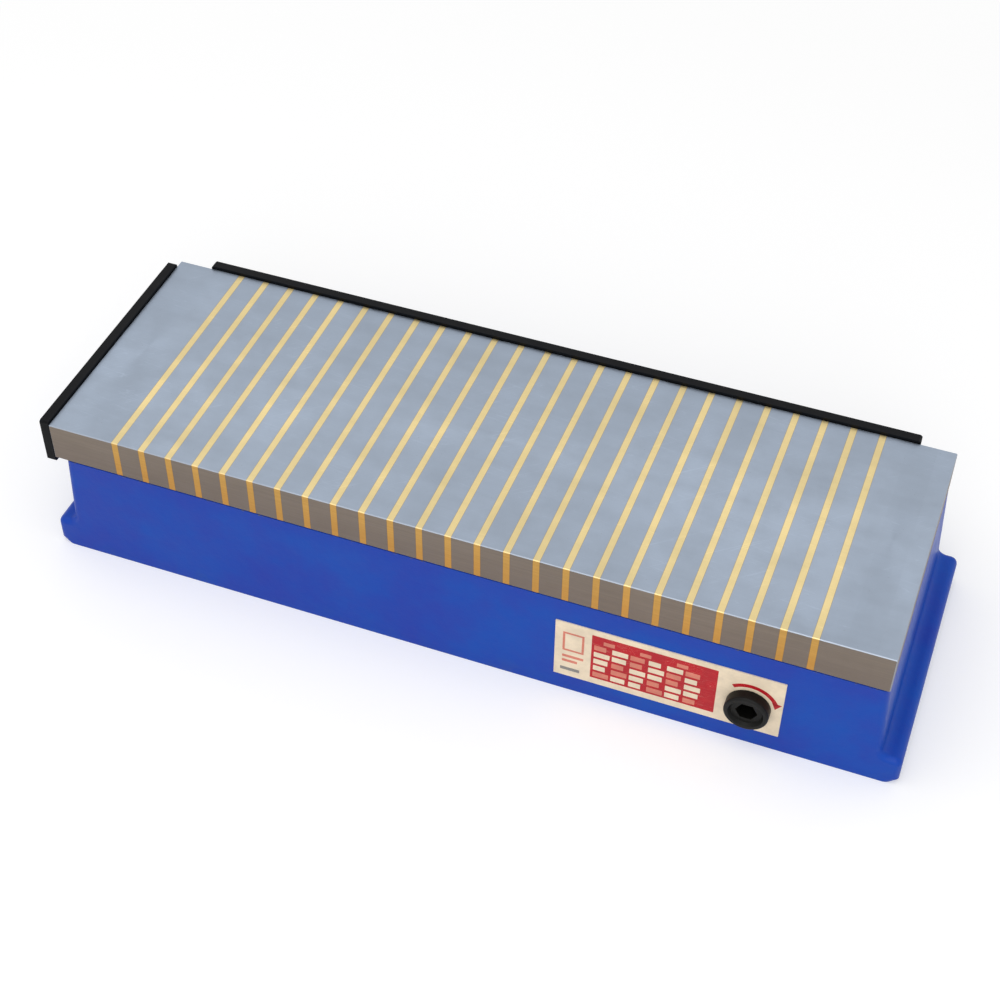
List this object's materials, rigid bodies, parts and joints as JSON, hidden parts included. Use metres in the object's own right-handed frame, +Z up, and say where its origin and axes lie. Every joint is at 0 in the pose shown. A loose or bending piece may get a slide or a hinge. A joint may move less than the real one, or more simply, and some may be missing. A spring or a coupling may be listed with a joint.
{
  "type": "magnetic chuck",
  "caption": "Rectangular permanent magnetic chuck: steel and brass laminated top plate on a cast base with end ledges, a hex-key drive that slides the magnet pack, and adjustable edge stops.",
  "frame": {"origin": "middle of the casting's resting face", "axes": "+X along the chuck to the right as seen from the drive socket, +Y to the back, +Z up from the resting face to the working face"},
  "size_m": [0.472, 0.1648, 0.0918],
  "materials": {
    "blue_enamel": "smooth enamel over cast iron",
    "ground_steel": "surface ground",
    "ground_brass": "surface ground",
    "wear_brass": "milled",
    "bronze": "turned",
    "black_rubber": "matt",
    "printed_plate": "printed",
    "black_oxide_screws": "black oxide",
    "black_oxide_drive": "black oxide",
    "black_stop": "black paint",
    "machined_steel": "turned and milled",
    "ferrite": "sintered",
    "pack_aluminium": "milled"
  },
  "bodies": {
    "chuck_base": {"base_casting": "blue_enamel", "plate_gasket": "black_rubber", "left_end_block": "ground_steel", "right_end_block": "ground_steel", "pole_bars": "ground_steel", "brass_strips": "ground_brass", "plate_screws": "black_oxide_screws", "floor_wear_strips": "wear_brass", "side_wear_strips": "wear_brass", "front_bush": "bronze", "rear_bush": "bronze", "stop_pin": "machined_steel", "nameplate": "printed_plate", "back_stop_screws": "black_oxide_screws", "end_stop_screws": "black_oxide_screws"},
    "drive_shaft": {"eccentric_shaft": "black_oxide_drive", "drive_collar": "black_oxide_drive", "collar_grub_screw": "black_oxide_drive", "shaft_seal": "black_rubber", "stop_disc": "machined_steel", "stop_disc_pin": "machined_steel", "eccentric_cams": "machined_steel", "cam_keys": "machined_steel", "shaft_spacers": "machined_steel"},
    "magnet_pack": {"pack_tall_bars": "machined_steel", "pack_short_bars": "machined_steel", "pack_tall_magnets": "ferrite", "pack_short_magnets": "ferrite", "pack_bottom_plate": "pack_aluminium", "pack_left_plate": "pack_aluminium", "pack_right_plate": "pack_aluminium", "pack_tie_bars": "wear_brass", "pack_tie_screws": "machined_steel", "drive_yoke": "bronze", "yoke_screws": "machined_steel"},
    "back_stop": {"back_stop_plate": "black_stop"},
    "end_stop": {"end_stop_plate": "black_stop"}
  },
  "joints": [
    {"name": "drive_turn", "type": "hinge", "parent": "chuck_base", "child": "drive_shaft", "pos_m": [0.157, 0, 0.029], "axis": [0, 1, 0], "range_deg": [0, 180]},
    {"name": "pack_slide", "type": "slide", "parent": "chuck_base", "child": "magnet_pack", "axis": [1, 0, 0], "range_m": [0, 0.00775]},
    {"name": "back_stop_lift", "type": "slide", "parent": "chuck_base", "child": "back_stop", "axis": [0, 0, 1], "range_m": [-0.0023, 0.006]},
    {"name": "end_stop_lift", "type": "slide", "parent": "chuck_base", "child": "end_stop", "axis": [0, 0, 1], "range_m": [-0.0023, 0.006]}
  ],
  "couplings": [
    {"joint": "drive_turn", "follows": "pack_slide", "rad_per_m": 405.36}
  ]
}
